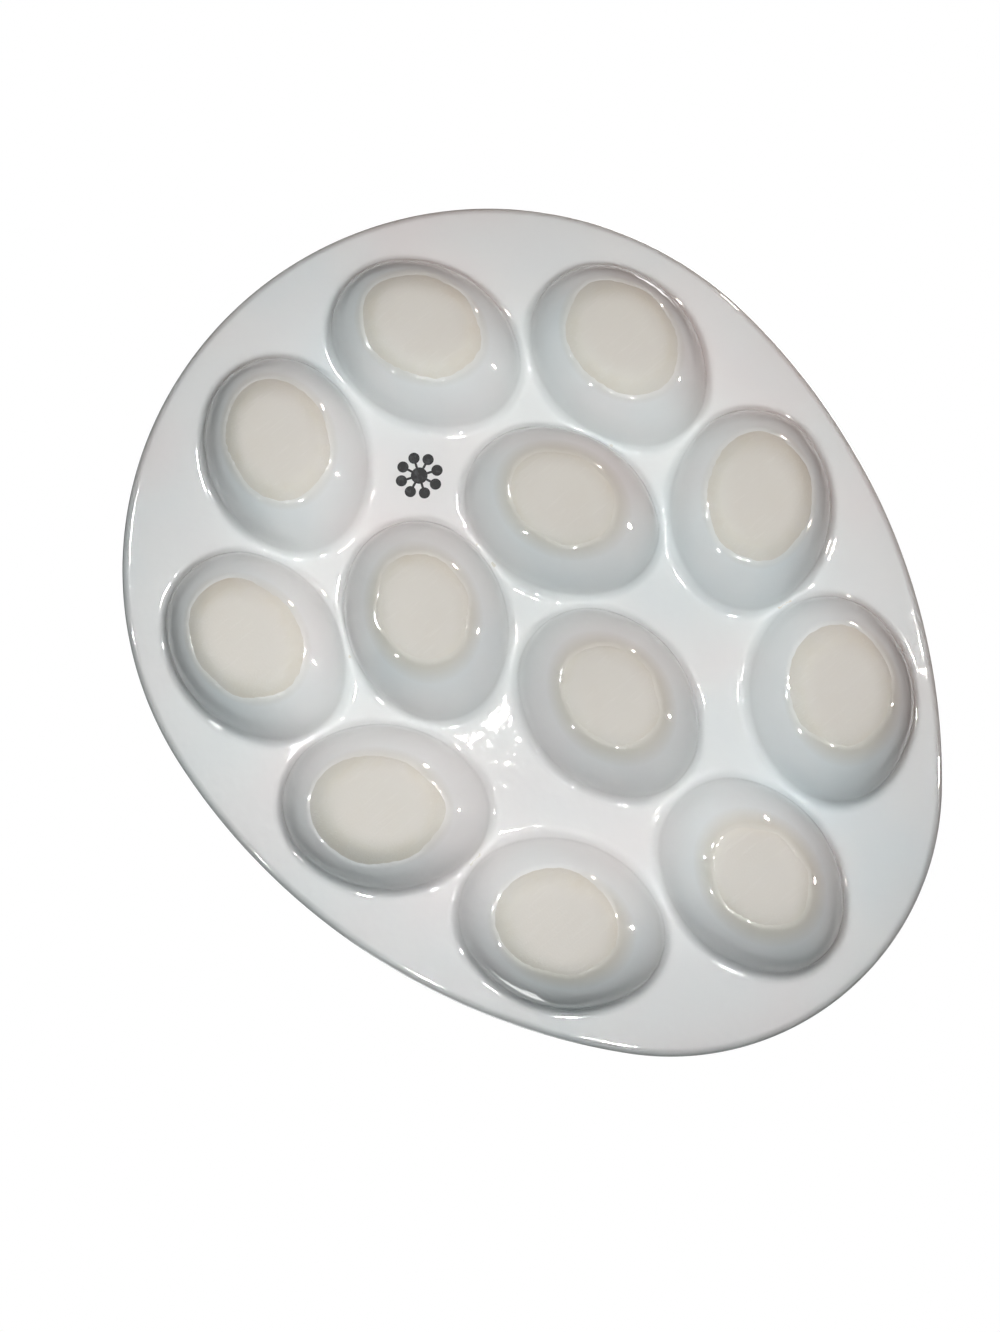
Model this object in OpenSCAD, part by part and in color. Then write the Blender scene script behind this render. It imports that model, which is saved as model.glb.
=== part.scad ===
// A platter for twelve halved eggs: one fired body, its coat of glaze and a small rosette
// printed under the deck.
// The wells open upwards, along +Z. The broad end lies towards +Y, and X = 0 is the mirror plane.
// Each hollow is half an egg that lies on its side, with its long axis in the plane of the deck's top.
// The twelve feet, where the glaze is wiped off, stand on Z = 0.

/* [Platter] */
// Length over the rim, from the broad end to the small end
platter_l = 305; // [296:1:325]
// Radius of the outline round the broad end
broad_end_r = 122; // [118:1:126]
// Radius of the outline round the small end
small_end_r = 90; // [84:1:96]
// Radius of the outline along the two sides
platter_side_r = 216; // [206:1:230]
// Thickness of the deck that joins the wells
deck_t = 5; // [4.5:0.1:6.5]
// Height of the deck's underside over the table
deck_rise = 22; // [20.5:0.5:24]
// Rounding of the rim's lower edge
rim_under_r = 3; // [1.5:0.1:3.2]

/* [Wells] */
// Length of a well's mouth
mouth_l = 60; // [57:0.5:60.5]
// Radius of the mouth round its broad end
mouth_broad_r = 19.5; // [18.5:0.5:20]
// Radius of the mouth round its small end
mouth_small_r = 17; // [16:0.5:17.5]
// Radius of the mouth along its sides
mouth_side_r = 36; // [35:0.5:42]
// Thickness of a well's wall at its mouth
wall_t = 4; // [3.5:0.1:4.3]
// How far the axis of a well's outside lies under the deck's top
axis_drop = 3; // [1:0.1:4]
// How far the axis of a well's hollow lies over the deck's top
axis_lift = 0.5; // [0.3:0.1:2]

/* [Glaze] */
// Thickness of the glaze
glaze_t = 0.3; // [0.2:0.05:0.5]
// Height over the table up to which the glaze is wiped off each foot
wipe_h = 2.2; // [0.8:0.1:2.5]

/* [Rosette] */
// Distance of each dot from the rosette's centre
dot_reach = 6.2; // [5:0.1:7]
// Radius of each dot
dot_r = 1.9; // [1.2:0.1:2.2]
// Radius of the rosette's middle
rosette_middle_r = 2.8; // [2:0.1:3.2]
// Width of the line from the middle to each dot
stalk_w = 0.8; // [0.5:0.1:1.5]
// Number of dots
dots = 8; // [6:1:9]
// Thickness of the print
print_t = 0.1; // [0.05:0.05:0.2]
// Gap between the glaze and the print on it, so that the two don't share a face
print_gap = 0.02; // [0.01:0.01:0.05]

/* [Hidden] */
under_z = deck_rise;
top_z = deck_rise + deck_t;
half_l = platter_l / 2;
// Depth by which an egg's side arc lies inside its end arcs, so that they cross and don't just touch
cross = 0.03;
// Corners of the deck's outline along each of its four arcs, and along its rim's rounding
outline_corners = 16;
rounding_corners = 3;

// Wells on one side: across and along, as shares of the half width and the half length,
// and the turn of the broad end towards the mirror plane
side_well_shares = [
    [0.244, 0.652, 19],
    [0.632, 0.362, 0],
    [0.236, 0.174, 21],
    [0.632, -0.082, -43],
    [0.466, -0.506, -34],
];
// Wells on the mirror plane: along, as shares of the half length
middle_well_shares = [-0.213, -0.684];
// The rosette's centre on the mirror plane: along, as a share of the half length
rosette_share = 0.436;

// An egg is a list of its length and its broad end, small end and side radii
platter_egg = [platter_l, broad_end_r, small_end_r, platter_side_r];
mouth_egg = [mouth_l, mouth_broad_r, mouth_small_r, mouth_side_r];

function grown(egg, off) = egg + off * [2, 1, 1, 1];

// Heights of an egg's broad end, small end and side centres, and how far the side centres lie off its axis
function egg_centres(egg) =
    let (broad_y = egg[0] / 2 - egg[1])
    let (gap = egg[0] - egg[1] - egg[2])
    let (down = ((egg[3] - egg[1]) ^ 2 - (egg[3] - egg[2]) ^ 2 + gap ^ 2) / (2 * gap))
    [broad_y, broad_y - gap, broad_y - down, sqrt((egg[3] - egg[1]) ^ 2 - down ^ 2)];

// An egg's four arcs, each as its centre, radius, first angle and last angle
function egg_arcs(egg) =
    let (c = egg_centres(egg))
    let (broad_a = atan2(c[0] - c[2], c[3]))
    let (small_a = atan2(c[1] - c[2], c[3]))
    [
        [[-c[3], c[2]], egg[3], small_a, broad_a],
        [[0, c[0]], egg[1], broad_a, 180 - broad_a],
        [[c[3], c[2]], egg[3], 180 - broad_a, 180 - small_a],
        [[0, c[1]], egg[2], 180 - small_a, 360 + small_a],
    ];

function half_width(egg) = egg[3] - egg_centres(egg)[3];

// Corners of an egg grown by off, at a height z
function egg_ring(egg, off, z) = [
    for (arc = egg_arcs(egg), i = [0:outline_corners - 1])
        let (a = arc[2] + (arc[3] - arc[2]) * i / outline_corners)
        let (p = arc[0] + (arc[1] + off) * [cos(a), sin(a)])
        [p[0], p[1], z]
];

// Half of an egg's outline, as its broad end disc, its small end disc and its side between them
module half_egg(egg) {
    c = egg_centres(egg);
    arcs = egg_arcs(egg);
    broad_y = c[0] + egg[1] * sin(arcs[0][3]);
    small_y = c[1] + egg[2] * sin(arcs[0][2]);
    intersection() {
        union() {
            translate([0, c[0]]) circle(egg[1], $fn = 96);
            translate([0, c[1]]) circle(egg[2], $fn = 96);
            intersection() {
                translate([-c[3], c[2]]) circle(egg[3] - cross, $fn = 96);
                translate([0, small_y]) square([egg[3], broad_y - small_y]);
            }
        }
        translate([0, -egg[0]]) square([egg[0], 2 * egg[0]]);
    }
}

// A whole egg on its side, with its long axis at a height z and its broad end towards +Y.
// The seam of its surface is turned to the top, where the deck's cut takes it away.
module lying_egg(egg, z) {
    translate([0, 0, z]) rotate([-90, 0, 0]) rotate([0, 0, -90]) rotate_extrude($fn = 96) half_egg(egg);
}

// Deck with its rounded lower rim, grown by g: a stack of outlines that runs on past the deck's top
module deck(g) {
    section = concat(
        [for (i = [0:rounding_corners])
            let (a = 90 * i / rounding_corners)
            [-rim_under_r, under_z + rim_under_r] + (rim_under_r + g) * [sin(a), -cos(a)]],
        [[g, top_z + deck_t]]
    );
    rings = [for (p = section) egg_ring(platter_egg, p[0], p[1])];
    n = 4 * outline_corners;
    last = len(section) - 1;
    polyhedron(
        points = [for (ring = rings, p = ring) p],
        faces = concat(
            [[for (i = [0:n - 1]) i]],
            [[for (i = [n - 1:-1:0]) last * n + i]],
            [for (k = [0:last - 1], i = [0:n - 1])
                let (j = (i + 1) % n)
                [k * n + i, (k + 1) * n + i, (k + 1) * n + j, k * n + j]]
        )
    );
}

module at_wells() {
    half_w = half_width(platter_egg);
    for (w = side_well_shares, side = [1, -1])
        translate([side * w[0] * half_w, w[1] * half_l, 0]) rotate([0, 0, side * w[2]]) children();
    for (y = middle_well_shares)
        translate([0, y * half_l, 0]) children();
}

// A block that reaches far past the platter all round, from a height z upwards
module block(z) {
    translate([-platter_l, -platter_l, z]) cube([2 * platter_l, 2 * platter_l, platter_l]);
}

// The platter above a height low_z, with every face moved outwards by g
module platter_form(g, low_z) {
    difference() {
        union() {
            deck(g);
            at_wells() lying_egg(grown(mouth_egg, wall_t + g), top_z - axis_drop);
        }
        block(low_z - platter_l);
        block(top_z + g);
        at_wells() lying_egg(grown(mouth_egg, -g), top_z + axis_lift);
    }
}

module fired_body() {
    color("ivory") platter_form(0, 0);
}

// The glaze covers the body, except for the feet up to the height where it is wiped off
module glaze_coat() {
    color("white") difference() {
        platter_form(glaze_t, wipe_h);
        platter_form(0, 0);
    }
}

// A middle, and dots round it on stalks, printed on the glaze under the deck
module printed_rosette() {
    low_z = under_z - glaze_t - print_gap - print_t;
    color("dimgray") translate([0, rosette_share * half_l, low_z]) linear_extrude(print_t) {
        circle(rosette_middle_r, $fn = 48);
        for (i = [0:dots - 1])
            rotate([0, 0, 360 / dots * (i + 0.5)]) {
                translate([0, -stalk_w / 2]) square([dot_reach, stalk_w]);
                translate([dot_reach, 0]) circle(dot_r, $fn = 48);
            }
    }
}

fired_body();
glaze_coat();
printed_rosette();
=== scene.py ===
"""A porcelain platter for twelve halved eggs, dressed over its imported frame.

The platter stands on its twelve bare feet, so +Z is up out of the wells and +Y points towards the
broad end. Shapes are worked out in millimetres and put into meshes in metres.
"""
import logging
import math
from collections.abc import Callable, Sequence
from dataclasses import dataclass, field
from enum import Enum

import bpy
import numpy as np
from mathutils import Matrix
from mathutils.geometry import delaunay_2d_cdt


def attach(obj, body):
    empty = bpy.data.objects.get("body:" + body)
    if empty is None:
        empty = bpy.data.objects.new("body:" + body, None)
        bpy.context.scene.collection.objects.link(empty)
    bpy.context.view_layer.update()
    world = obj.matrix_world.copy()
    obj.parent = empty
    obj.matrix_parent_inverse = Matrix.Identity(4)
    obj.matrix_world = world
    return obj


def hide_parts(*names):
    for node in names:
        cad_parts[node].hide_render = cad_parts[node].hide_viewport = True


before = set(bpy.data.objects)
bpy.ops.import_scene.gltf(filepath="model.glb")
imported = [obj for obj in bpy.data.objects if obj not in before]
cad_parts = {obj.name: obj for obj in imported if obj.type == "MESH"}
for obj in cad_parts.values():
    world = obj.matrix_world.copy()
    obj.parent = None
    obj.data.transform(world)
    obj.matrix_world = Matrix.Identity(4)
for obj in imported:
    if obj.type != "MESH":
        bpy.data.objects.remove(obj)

log = logging.getLogger("platter")
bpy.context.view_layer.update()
MM = 0.001
# Halvings that find a point of a plan outline, and one of a surface
OUTLINE_HALVINGS = 40
SURFACE_HALVINGS = 30
# Step over which a slope is measured, and the distance under which points are one, in mm
SLOPE_STEP = 1e-3
WELD_STEP = 1e-3
# A distance that is more than any on the platter, in mm
FAR = 1e3

Point = tuple[float, float, float]
Stops = tuple[tuple[float, str], ...]


# The platter's shape

def halved(low: np.ndarray, high: np.ndarray, holds: Callable[[np.ndarray], np.ndarray],
           steps: int = SURFACE_HALVINGS) -> tuple[np.ndarray, np.ndarray]:
    """Closes in on where something stops holding, by halving the way between two places.

    Args:
        low: Places where it holds, one on each way.
        high: Places at the other ends of the ways, where it doesn't.
        holds: Tells where it holds, from a place on each way.
        steps: Number of halvings.

    Returns:
        The last places found where it holds, and the first where it doesn't.
    """
    for _ in range(steps):
        mid = (low + high) / 2
        inside = holds(mid)
        low, high = np.where(inside, mid, low), np.where(inside, high, mid)
    return low, high


def round_join(a: np.ndarray, b: np.ndarray, radius: float) -> np.ndarray:
    """Returns the distance to two joined parts, with a round fillet where they meet."""
    lack_a, lack_b = np.maximum(radius - a, 0), np.maximum(radius - b, 0)
    return np.maximum(radius, np.minimum(a, b)) - np.hypot(lack_a, lack_b)


def soft_floor(height: np.ndarray, floor: float, width: float) -> np.ndarray:
    """Returns the greater of height and floor, with a parabola of the given width between them."""
    blend = np.maximum(width - np.abs(height - floor), 0) / width
    return np.maximum(height, floor) + blend ** 2 * width / 4


def ease(t: np.ndarray) -> np.ndarray:
    """Returns t kept between 0 and 1, with a level start and end."""
    t = np.clip(t, 0, 1)
    return t * t * (3 - 2 * t)


@dataclass(frozen=True)
class Egg:
    """A plane egg of four arcs that run into each other, with its broad end towards +y.

    Args:
        length: Length over both ends, in mm.
        broad_r: Radius round the broad end.
        small_r: Radius round the small end.
        side_r: Radius along each side.
    """

    length: float
    broad_r: float
    small_r: float
    side_r: float

    def grown(self, off: float) -> "Egg":
        """Returns the egg with every point of its edge moved outwards by off."""
        return Egg(self.length + 2 * off, self.broad_r + off, self.small_r + off, self.side_r + off)

    @property
    def centres(self) -> tuple[float, float, float, float]:
        """Where the centres of the arcs lie.

        A side centre is side_r - broad_r from the broad centre and side_r - small_r from the
        small one.

        Returns:
            Heights of the broad, small and side centres, and how far the side ones lie off the
            axis.
        """
        broad_y = self.length / 2 - self.broad_r
        gap = self.length - self.broad_r - self.small_r
        far, near = self.side_r - self.small_r, self.side_r - self.broad_r
        down = (near ** 2 - far ** 2 + gap ** 2) / (2 * gap)
        return broad_y, broad_y - gap, broad_y - down, math.sqrt(near ** 2 - down ** 2)

    @property
    def half_width(self) -> float:
        """Half of the egg's greatest width."""
        return self.side_r - self.centres[3]

    def distance(self, x: np.ndarray, y: np.ndarray) -> np.ndarray:
        """Tells how far points lie outside the egg's edge.

        The direction from a side centre tells which of the arcs a point faces; its distance is
        then the distance from that arc's centre, less the arc's radius.

        Args:
            x: Places across the egg.
            y: Places along it.

        Returns:
            The distances, negative inside.
        """
        broad_y, small_y, side_y, side_x = self.centres
        x = np.abs(x)
        angle = np.arctan2(y - side_y, x + side_x)
        broad = angle > math.atan2(broad_y - side_y, side_x)
        small = angle < math.atan2(small_y - side_y, side_x)
        side_d = np.hypot(x + side_x, y - side_y) - self.side_r
        end_d = np.where(broad, np.hypot(x, y - broad_y) - self.broad_r,
                         np.hypot(x, y - small_y) - self.small_r)
        return np.where(broad | small, end_d, side_d)

    def outline(self, count: int) -> tuple[np.ndarray, np.ndarray]:
        """Finds the points where rays from the middle meet the egg's edge, by halving.

        Args:
            count: Number of rays.

        Returns:
            The points, anticlockwise from the right, and their outward normals.
        """
        angle = np.arange(count) * 2 * math.pi / count
        ray = np.stack([np.cos(angle), np.sin(angle)], axis=1)
        reach, _ = halved(np.zeros(count), np.full(count, self.length),
                          lambda mid: self.distance(ray[:, 0] * mid, ray[:, 1] * mid) < 0,
                          OUTLINE_HALVINGS)
        points = ray * reach[:, None]
        x, y = points[:, 0], points[:, 1]
        slope_x = self.distance(x + SLOPE_STEP, y) - self.distance(x - SLOPE_STEP, y)
        slope_y = self.distance(x, y + SLOPE_STEP) - self.distance(x, y - SLOPE_STEP)
        normals = np.stack([slope_x, slope_y], axis=1)
        return points, normals / np.linalg.norm(normals, axis=1, keepdims=True)


@dataclass(frozen=True)
class Well:
    """One well: where its middle lies, the turn of its broad end, and how its foot was wiped.

    Args:
        x: Middle across the platter, in mm.
        y: Middle along the platter, in mm.
        turn: Turn of the broad end from +y, anticlockwise seen from above, in degrees.
        wiped_h: Height over the table up to which the glaze was wiped off, in mm.
        slip: How far the wiped patch lies off the middle, across and along the well, in mm.
    """

    x: float
    y: float
    turn: float
    wiped_h: float
    slip: tuple[float, float]

    @property
    def cos_sin(self) -> tuple[float, float]:
        """Cosine and sine of the turn."""
        return math.cos(math.radians(self.turn)), math.sin(math.radians(self.turn))

    def local(self, points: np.ndarray) -> tuple[np.ndarray, np.ndarray]:
        """Takes plan points into the well's own frame.

        Args:
            points: Points on the plan.

        Returns:
            Their places across the well, x cos + y sin, and along it, y cos - x sin.
        """
        c, s = self.cos_sin
        dx, dy = points[:, 0] - self.x, points[:, 1] - self.y
        return dx * c + dy * s, dy * c - dx * s

    def placed(self, points: np.ndarray) -> np.ndarray:
        """Takes points of the well's own frame onto the plan.

        Args:
            points: Points across and along the well.

        Returns:
            Points on the plan: the well's middle and x cos - y sin, x sin + y cos.
        """
        c, s = self.cos_sin
        across, along = points.T
        return np.stack([self.x + across * c - along * s, self.y + across * s + along * c], axis=1)


class Side(Enum):
    """The two broad faces of the platter."""

    UNDER = -1
    TOP = 1


@dataclass(frozen=True)
class PlatterShape:
    """The platter's sizes in mm, and the heights of its two faces over any point of its plan.

    A face is where a distance made from the deck's plane and the wells' eggs is zero. Two parts
    are joined or cut with a round fillet: of the two distances a and b, only what each lacks of
    the radius counts, and the length of that pair is compared with the radius.

    Args:
        plan: The deck's outline.
        mouth: The egg of a well's hollow.
        deck_rise: Height of the deck's underside over the table.
        deck_t: Thickness of the deck.
        wall_t: Thickness of a well's wall at its mouth.
        axis_drop: How far the axis of a well's outside lies under the deck's top.
        axis_lift: How far the axis of a well's hollow lies over the deck's top.
        glaze_t: Thickness of the glaze.
        rim_under_r: Rounding of the rim's lower edge.
        rim_top_r: Rounding of the rim's upper edge.
        fillet_r: Fillet between a well's outside and the deck.
        valley_r: Fillet between neighbouring wells.
        lip_r: Rounding of a well's lip.
        foot_edge_r: Width of a foot's soft edge.
        side_wells: Wells right of the mirror plane, each with one left of it: across and along as
            shares of the half width and half length, turn in degrees, and wiped height.
        middle_wells: Wells on the mirror plane: along as a share, and wiped height.
        slips: How far each foot's wiped patch slipped, in the order of wells().
        near_wells: Number of the nearest wells that shape a point of the underside.
        search_z: A height under everything, where the search for the underside starts.
    """

    plan: Egg = Egg(305.0, 122.0, 90.0, 216.0)
    mouth: Egg = Egg(60.0, 19.5, 17.0, 36.0)
    deck_rise: float = 22.0
    deck_t: float = 5.0
    wall_t: float = 4.0
    axis_drop: float = 3.0
    axis_lift: float = 0.5
    glaze_t: float = 0.3
    rim_under_r: float = 3.0
    rim_top_r: float = 1.3
    fillet_r: float = 3.0
    valley_r: float = 2.0
    lip_r: float = 3.0
    foot_edge_r: float = 1.2
    side_wells: tuple[tuple[float, float, float, float], ...] = (
        (0.244, 0.652, 19, 2.7),
        (0.632, 0.362, 0, 2.9),
        (0.236, 0.174, 21, 1.2),
        (0.632, -0.082, -43, 3.1),
        (0.466, -0.506, -34, 2.1),
    )
    middle_wells: tuple[tuple[float, float], ...] = ((-0.213, 0.9), (-0.684, 0.7))
    slips: tuple[tuple[float, float], ...] = (
        (0, 0), (0, 0), (0, 0), (0, 0), (-0.5, 1.2), (0, 0),
        (1.2, 0.9), (0, 0), (-1.5, 2.0), (1.3, 2.4), (-0.3, 0.8), (0.2, 0.3))
    near_wells: int = 3
    search_z: float = -6.0

    @property
    def top_z(self) -> float:
        """Height of the deck's top over the table, without its glaze."""
        return self.deck_rise + self.deck_t

    @property
    def outer(self) -> Egg:
        """The egg of a well's outside."""
        return self.mouth.grown(self.wall_t)

    def wells(self) -> list[Well]:
        """Lists the wells: five pairs across the mirror plane, and two on it.

        Returns:
            The twelve wells.
        """
        half_w, half_l = self.plan.half_width, self.plan.length / 2
        places = [(side * x * half_w, y * half_l, side * turn, wiped)
                  for x, y, turn, wiped in self.side_wells for side in (1, -1)]
        places += [(0.0, y * half_l, 0.0, wiped) for y, wiped in self.middle_wells]
        return [Well(*place, slip) for place, slip in zip(places, self.slips)]

    def in_wells(self, points: np.ndarray) -> tuple[np.ndarray, np.ndarray]:
        """Returns the points' places across and along each well, a row for each well."""
        local = [well.local(points) for well in self.wells()]
        return np.stack([across for across, _ in local]), np.stack([along for _, along in local])

    def under_height(self, points: np.ndarray, coat: np.ndarray | float) -> np.ndarray:
        """Works out the height of the underside over plan points.

        The wells' outsides are eggs that lie on their sides. They are joined to each other with a
        small fillet, then to the deck's underside with a large one; the height where the joined
        distance is zero is found by halving, and the table cuts what lies under it to a flat with
        a soft edge.

        Args:
            points: Points on the plan.
            coat: How far the face is moved outwards there.

        Returns:
            The heights over the table.
        """
        axis_z = self.top_z - self.axis_drop
        across, along = self.in_wells(points)
        nearest = np.argsort(np.hypot(across, along), axis=0)[:self.near_wells]
        near = [np.take_along_axis(places, nearest, 0) for places in (across, along)]

        def under_it(z: np.ndarray) -> np.ndarray:
            """Tells where heights lie under the platter.

            Args:
                z: A height over each point.

            Returns:
                True where it lies under the platter.
            """
            wells_d = np.full(len(points), FAR)
            for u, w in zip(*near):
                egg_d = self.outer.distance(np.hypot(u, z - axis_z), w) - coat
                wells_d = round_join(wells_d, egg_d, self.valley_r)
            return round_join(wells_d, (self.deck_rise - z) - coat, self.fillet_r) >= 0

        start = np.full(len(points), self.search_z)
        _, height = halved(start, np.full(len(points), self.deck_rise) - coat, under_it)
        return soft_floor(height, 0.0, self.foot_edge_r)

    def top_height(self, points: np.ndarray, coat: float) -> np.ndarray:
        """Works out the height of the top over plan points.

        The hollows are eggs that lie on their sides. They are cut from the deck with a round lip;
        the height where the cut distance is zero is found by halving.

        Args:
            points: Points on the plan.
            coat: How far the face is moved outwards.

        Returns:
            The heights over the table.
        """
        axis_z, top = self.top_z + self.axis_lift, self.top_z + coat
        across, along = self.in_wells(points)
        nearest = np.argmin(self.mouth.distance(across, along), axis=0)[None]
        u, w = (np.take_along_axis(places, nearest, 0)[0] for places in (across, along))

        def in_it(z: np.ndarray) -> np.ndarray:
            """Returns True where a height lies in the platter."""
            hollow_d = self.mouth.distance(np.hypot(u, z - axis_z), w)
            return -round_join(top - z, hollow_d + coat, self.lip_r) < 0

        height, _ = halved(np.zeros(len(points)), np.full(len(points), top), in_it)
        return height


@dataclass(frozen=True)
class WipedEdge:
    """Where the glaze ends round a foot: the line at the wiped height, as uneven as a wet sponge.

    Args:
        well: The well that stands on this foot.
        shape: The platter's sizes.
        seed: Start of the random numbers for this edge.
        waves: Height of the long waves along the edge, in mm.
        nicks: Height of its small nicks, in mm.
        wave_counts: Numbers of long waves round the foot.
        nick_counts: Numbers of nicks round the foot.
        faintest: Height of the faintest wave as a share of the strongest.
        table_size: Number of directions in which the edge is worked out for beyond().
    """

    well: Well
    shape: PlatterShape
    seed: int
    waves: float = 0.55
    nicks: float = 0.16
    wave_counts: range = range(2, 8)
    nick_counts: range = range(17, 41)
    faintest: float = 0.3
    table_size: int = 721

    def radii(self, angles: np.ndarray) -> np.ndarray:
        """Finds how far the edge lies from the well's middle.

        A ray meets the outside's egg at the wiped height where the egg's distance is zero, found
        by halving. Sines of few and many waves round the foot, of random phase and height, are
        added, and then the slip along the ray.

        Args:
            angles: Directions of the rays, in radians.

        Returns:
            The edge's distances, in mm.
        """
        outer = self.shape.outer
        drop = self.shape.top_z - self.shape.axis_drop - self.well.wiped_h
        c, s = np.cos(angles), np.sin(angles)
        radius, _ = halved(np.zeros(len(angles)), np.full(len(angles), outer.length),
                           lambda mid: outer.distance(np.hypot(mid * c, drop), mid * s) < 0)
        rng = np.random.default_rng(self.seed)
        for counts, height in ((self.wave_counts, self.waves), (self.nick_counts, self.nicks)):
            phase = rng.uniform(0, 2 * math.pi, len(counts))
            sines = np.sin(np.array(counts) * angles[:, None] + phase)
            part = sines * rng.uniform(self.faintest, 1, len(counts))
            radius = radius + height * part.sum(axis=1) / math.sqrt(len(counts))
        across, along = self.well.slip
        return radius + across * c + along * s

    def beyond(self, points: np.ndarray) -> np.ndarray:
        """Tells how far points lie outside the edge, along their rays.

        Args:
            points: Points on the plan.

        Returns:
            The distances in mm, negative inside.
        """
        across, along = self.well.local(points)
        table = np.linspace(-math.pi, math.pi, self.table_size)
        edge = np.interp(np.arctan2(along, across), table, self.radii(table))
        return np.hypot(across, along) - edge


# Nets and meshes

@dataclass(frozen=True)
class FaceNet:
    """A plan net of triangles for one broad face: rings round the wells in a hexagonal field.

    Args:
        shape: The platter's sizes.
        side: Which face the net is for.
        edges: Wiped edges that the rings start from, one for each well, or none for no holes.
        ring_step: Distance along the wells' walls between rings, in mm.
        field_step: Distance between the deck's points, in mm.
        rim_count: Number of points round the rim.
        fillet_share: Distance between rings on the fillet, as a share of ring_step.
        crowding: Power that crowds the rings towards the wiped edge.
        rim_gap: Least distance from a ring point to the rim, in mm.
        seam_gap: How much nearer its own well is to a ring point than any other, in mm.
        field_gaps: Least distances from the field to the rim and to the rings, as shares of
            field_step.
    """

    shape: PlatterShape
    side: Side
    edges: tuple[WipedEdge, ...] = ()
    ring_step: float = 1.25
    field_step: float = 2.6
    rim_count: int = 480
    fillet_share: float = 0.6
    crowding: float = 1.15
    rim_gap: float = 0.8
    seam_gap: float = 0.25
    field_gaps: tuple[float, float] = (0.6, 0.45)

    @property
    def egg(self) -> Egg:
        """The egg whose wall the rings follow."""
        return self.shape.outer if self.side is Side.UNDER else self.shape.mouth

    @property
    def rim_inset(self) -> float:
        """How far the net's edge lies inside the platter's outline."""
        return self.shape.rim_under_r if self.side is Side.UNDER else self.shape.rim_top_r

    def wall_distance(self, well: Well, points: np.ndarray) -> np.ndarray:
        """Returns how far the plan points lie outside a well's egg."""
        return self.egg.distance(*well.local(points))

    def ring_profile(self) -> tuple[np.ndarray, np.ndarray]:
        """Spaces the rings along a wall and the fillet beyond it.

        On the wall a ring lies at the wall's half width times the sine of its turn. The fillet's
        centre lies the wall's and the fillet's radius from the egg's axis; its rings follow from
        the slope there.

        Returns:
            The turns of the wall's rings, in radians, and the outsets of the others from the
            egg's edge, in mm.
        """
        s = self.shape
        under = self.side is Side.UNDER
        half_w, fillet = self.egg.half_width, s.fillet_r if under else s.lip_r
        rise = fillet + (s.top_z - s.axis_drop - s.deck_rise if under else s.axis_lift)
        steepest = math.acos(rise / (half_w + fillet))
        centre = math.sqrt((half_w + fillet) ** 2 - rise ** 2)
        turns = np.linspace(0, steepest, round(steepest * half_w / self.ring_step))
        fillet_rings = round(steepest * fillet / (self.ring_step * self.fillet_share))
        slopes = np.linspace(steepest, 0, fillet_rings)[1:]
        outsets = centre - fillet * np.sin(slopes) - half_w
        return turns, np.append(outsets, outsets[-1] + self.ring_step)

    def well_rings(self, index: int, well: Well) -> tuple[np.ndarray, int]:
        """Lays the rings of one well.

        A ring on the wall is the egg's edge drawn in to the sine of its turn; one on the fillet is
        the edge moved out along its normals.

        Args:
            index: The well's number.
            well: The well.

        Returns:
            The rings' points on the plan, and how many of the first lie on the wiped edge.
        """
        turns, outsets = self.ring_profile()
        count = round(2 * math.pi * self.egg.half_width / self.ring_step / 4) * 4
        edge_points, normals = self.egg.outline(count)
        angles = np.arange(count) * 2 * math.pi / count
        reach = np.hypot(edge_points[:, 0], edge_points[:, 1])
        ray = edge_points / reach[:, None]
        fillets = (edge_points + outsets[:, None, None] * normals).reshape(-1, 2)
        if self.edges:
            start = np.arcsin(np.clip(self.edges[index].radii(angles) / reach, 0, 1))
            way = turns[-1] - start
            share = np.linspace(0, 1, round(way.max() * self.egg.half_width / self.ring_step))
            ring_turns = start + way * share[:, None] ** self.crowding
            middle, first = np.empty((0, 2)), count
        else:
            ring_turns = np.repeat(turns[1:, None], count, axis=1)
            middle, first = np.zeros((1, 2)), 0
        walls = ((reach * np.sin(ring_turns))[:, :, None] * ray).reshape(-1, 2)
        return well.placed(np.concatenate([middle, walls, fillets])), first

    def hex_field(self, wells: list[Well]) -> np.ndarray:
        """Lays the deck's points in rows, every other one half a step along.

        Args:
            wells: The wells that they keep clear of.

        Returns:
            The points between the rings and the rim.
        """
        half_w, half_l = self.shape.plan.half_width, self.shape.plan.length / 2
        rows = np.arange(-half_l, half_l, self.field_step * math.sqrt(3) / 2)
        columns = np.arange(-half_w, half_w, self.field_step)
        gx, gy = np.meshgrid(columns, rows)
        gx = gx + (np.arange(len(rows)) % 2)[:, None] * self.field_step / 2
        points = np.stack([gx.ravel(), gy.ravel()], axis=1)
        nearest = np.min([self.wall_distance(well, points) for well in wells], axis=0)
        rim_gap, ring_gap = (self.field_step * gap for gap in self.field_gaps)
        inside = self.shape.plan.distance(points[:, 0], points[:, 1]) < -self.rim_inset - rim_gap
        last_ring = self.ring_profile()[1][-1]
        return points[(nearest > last_ring + ring_gap) & inside]

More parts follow.
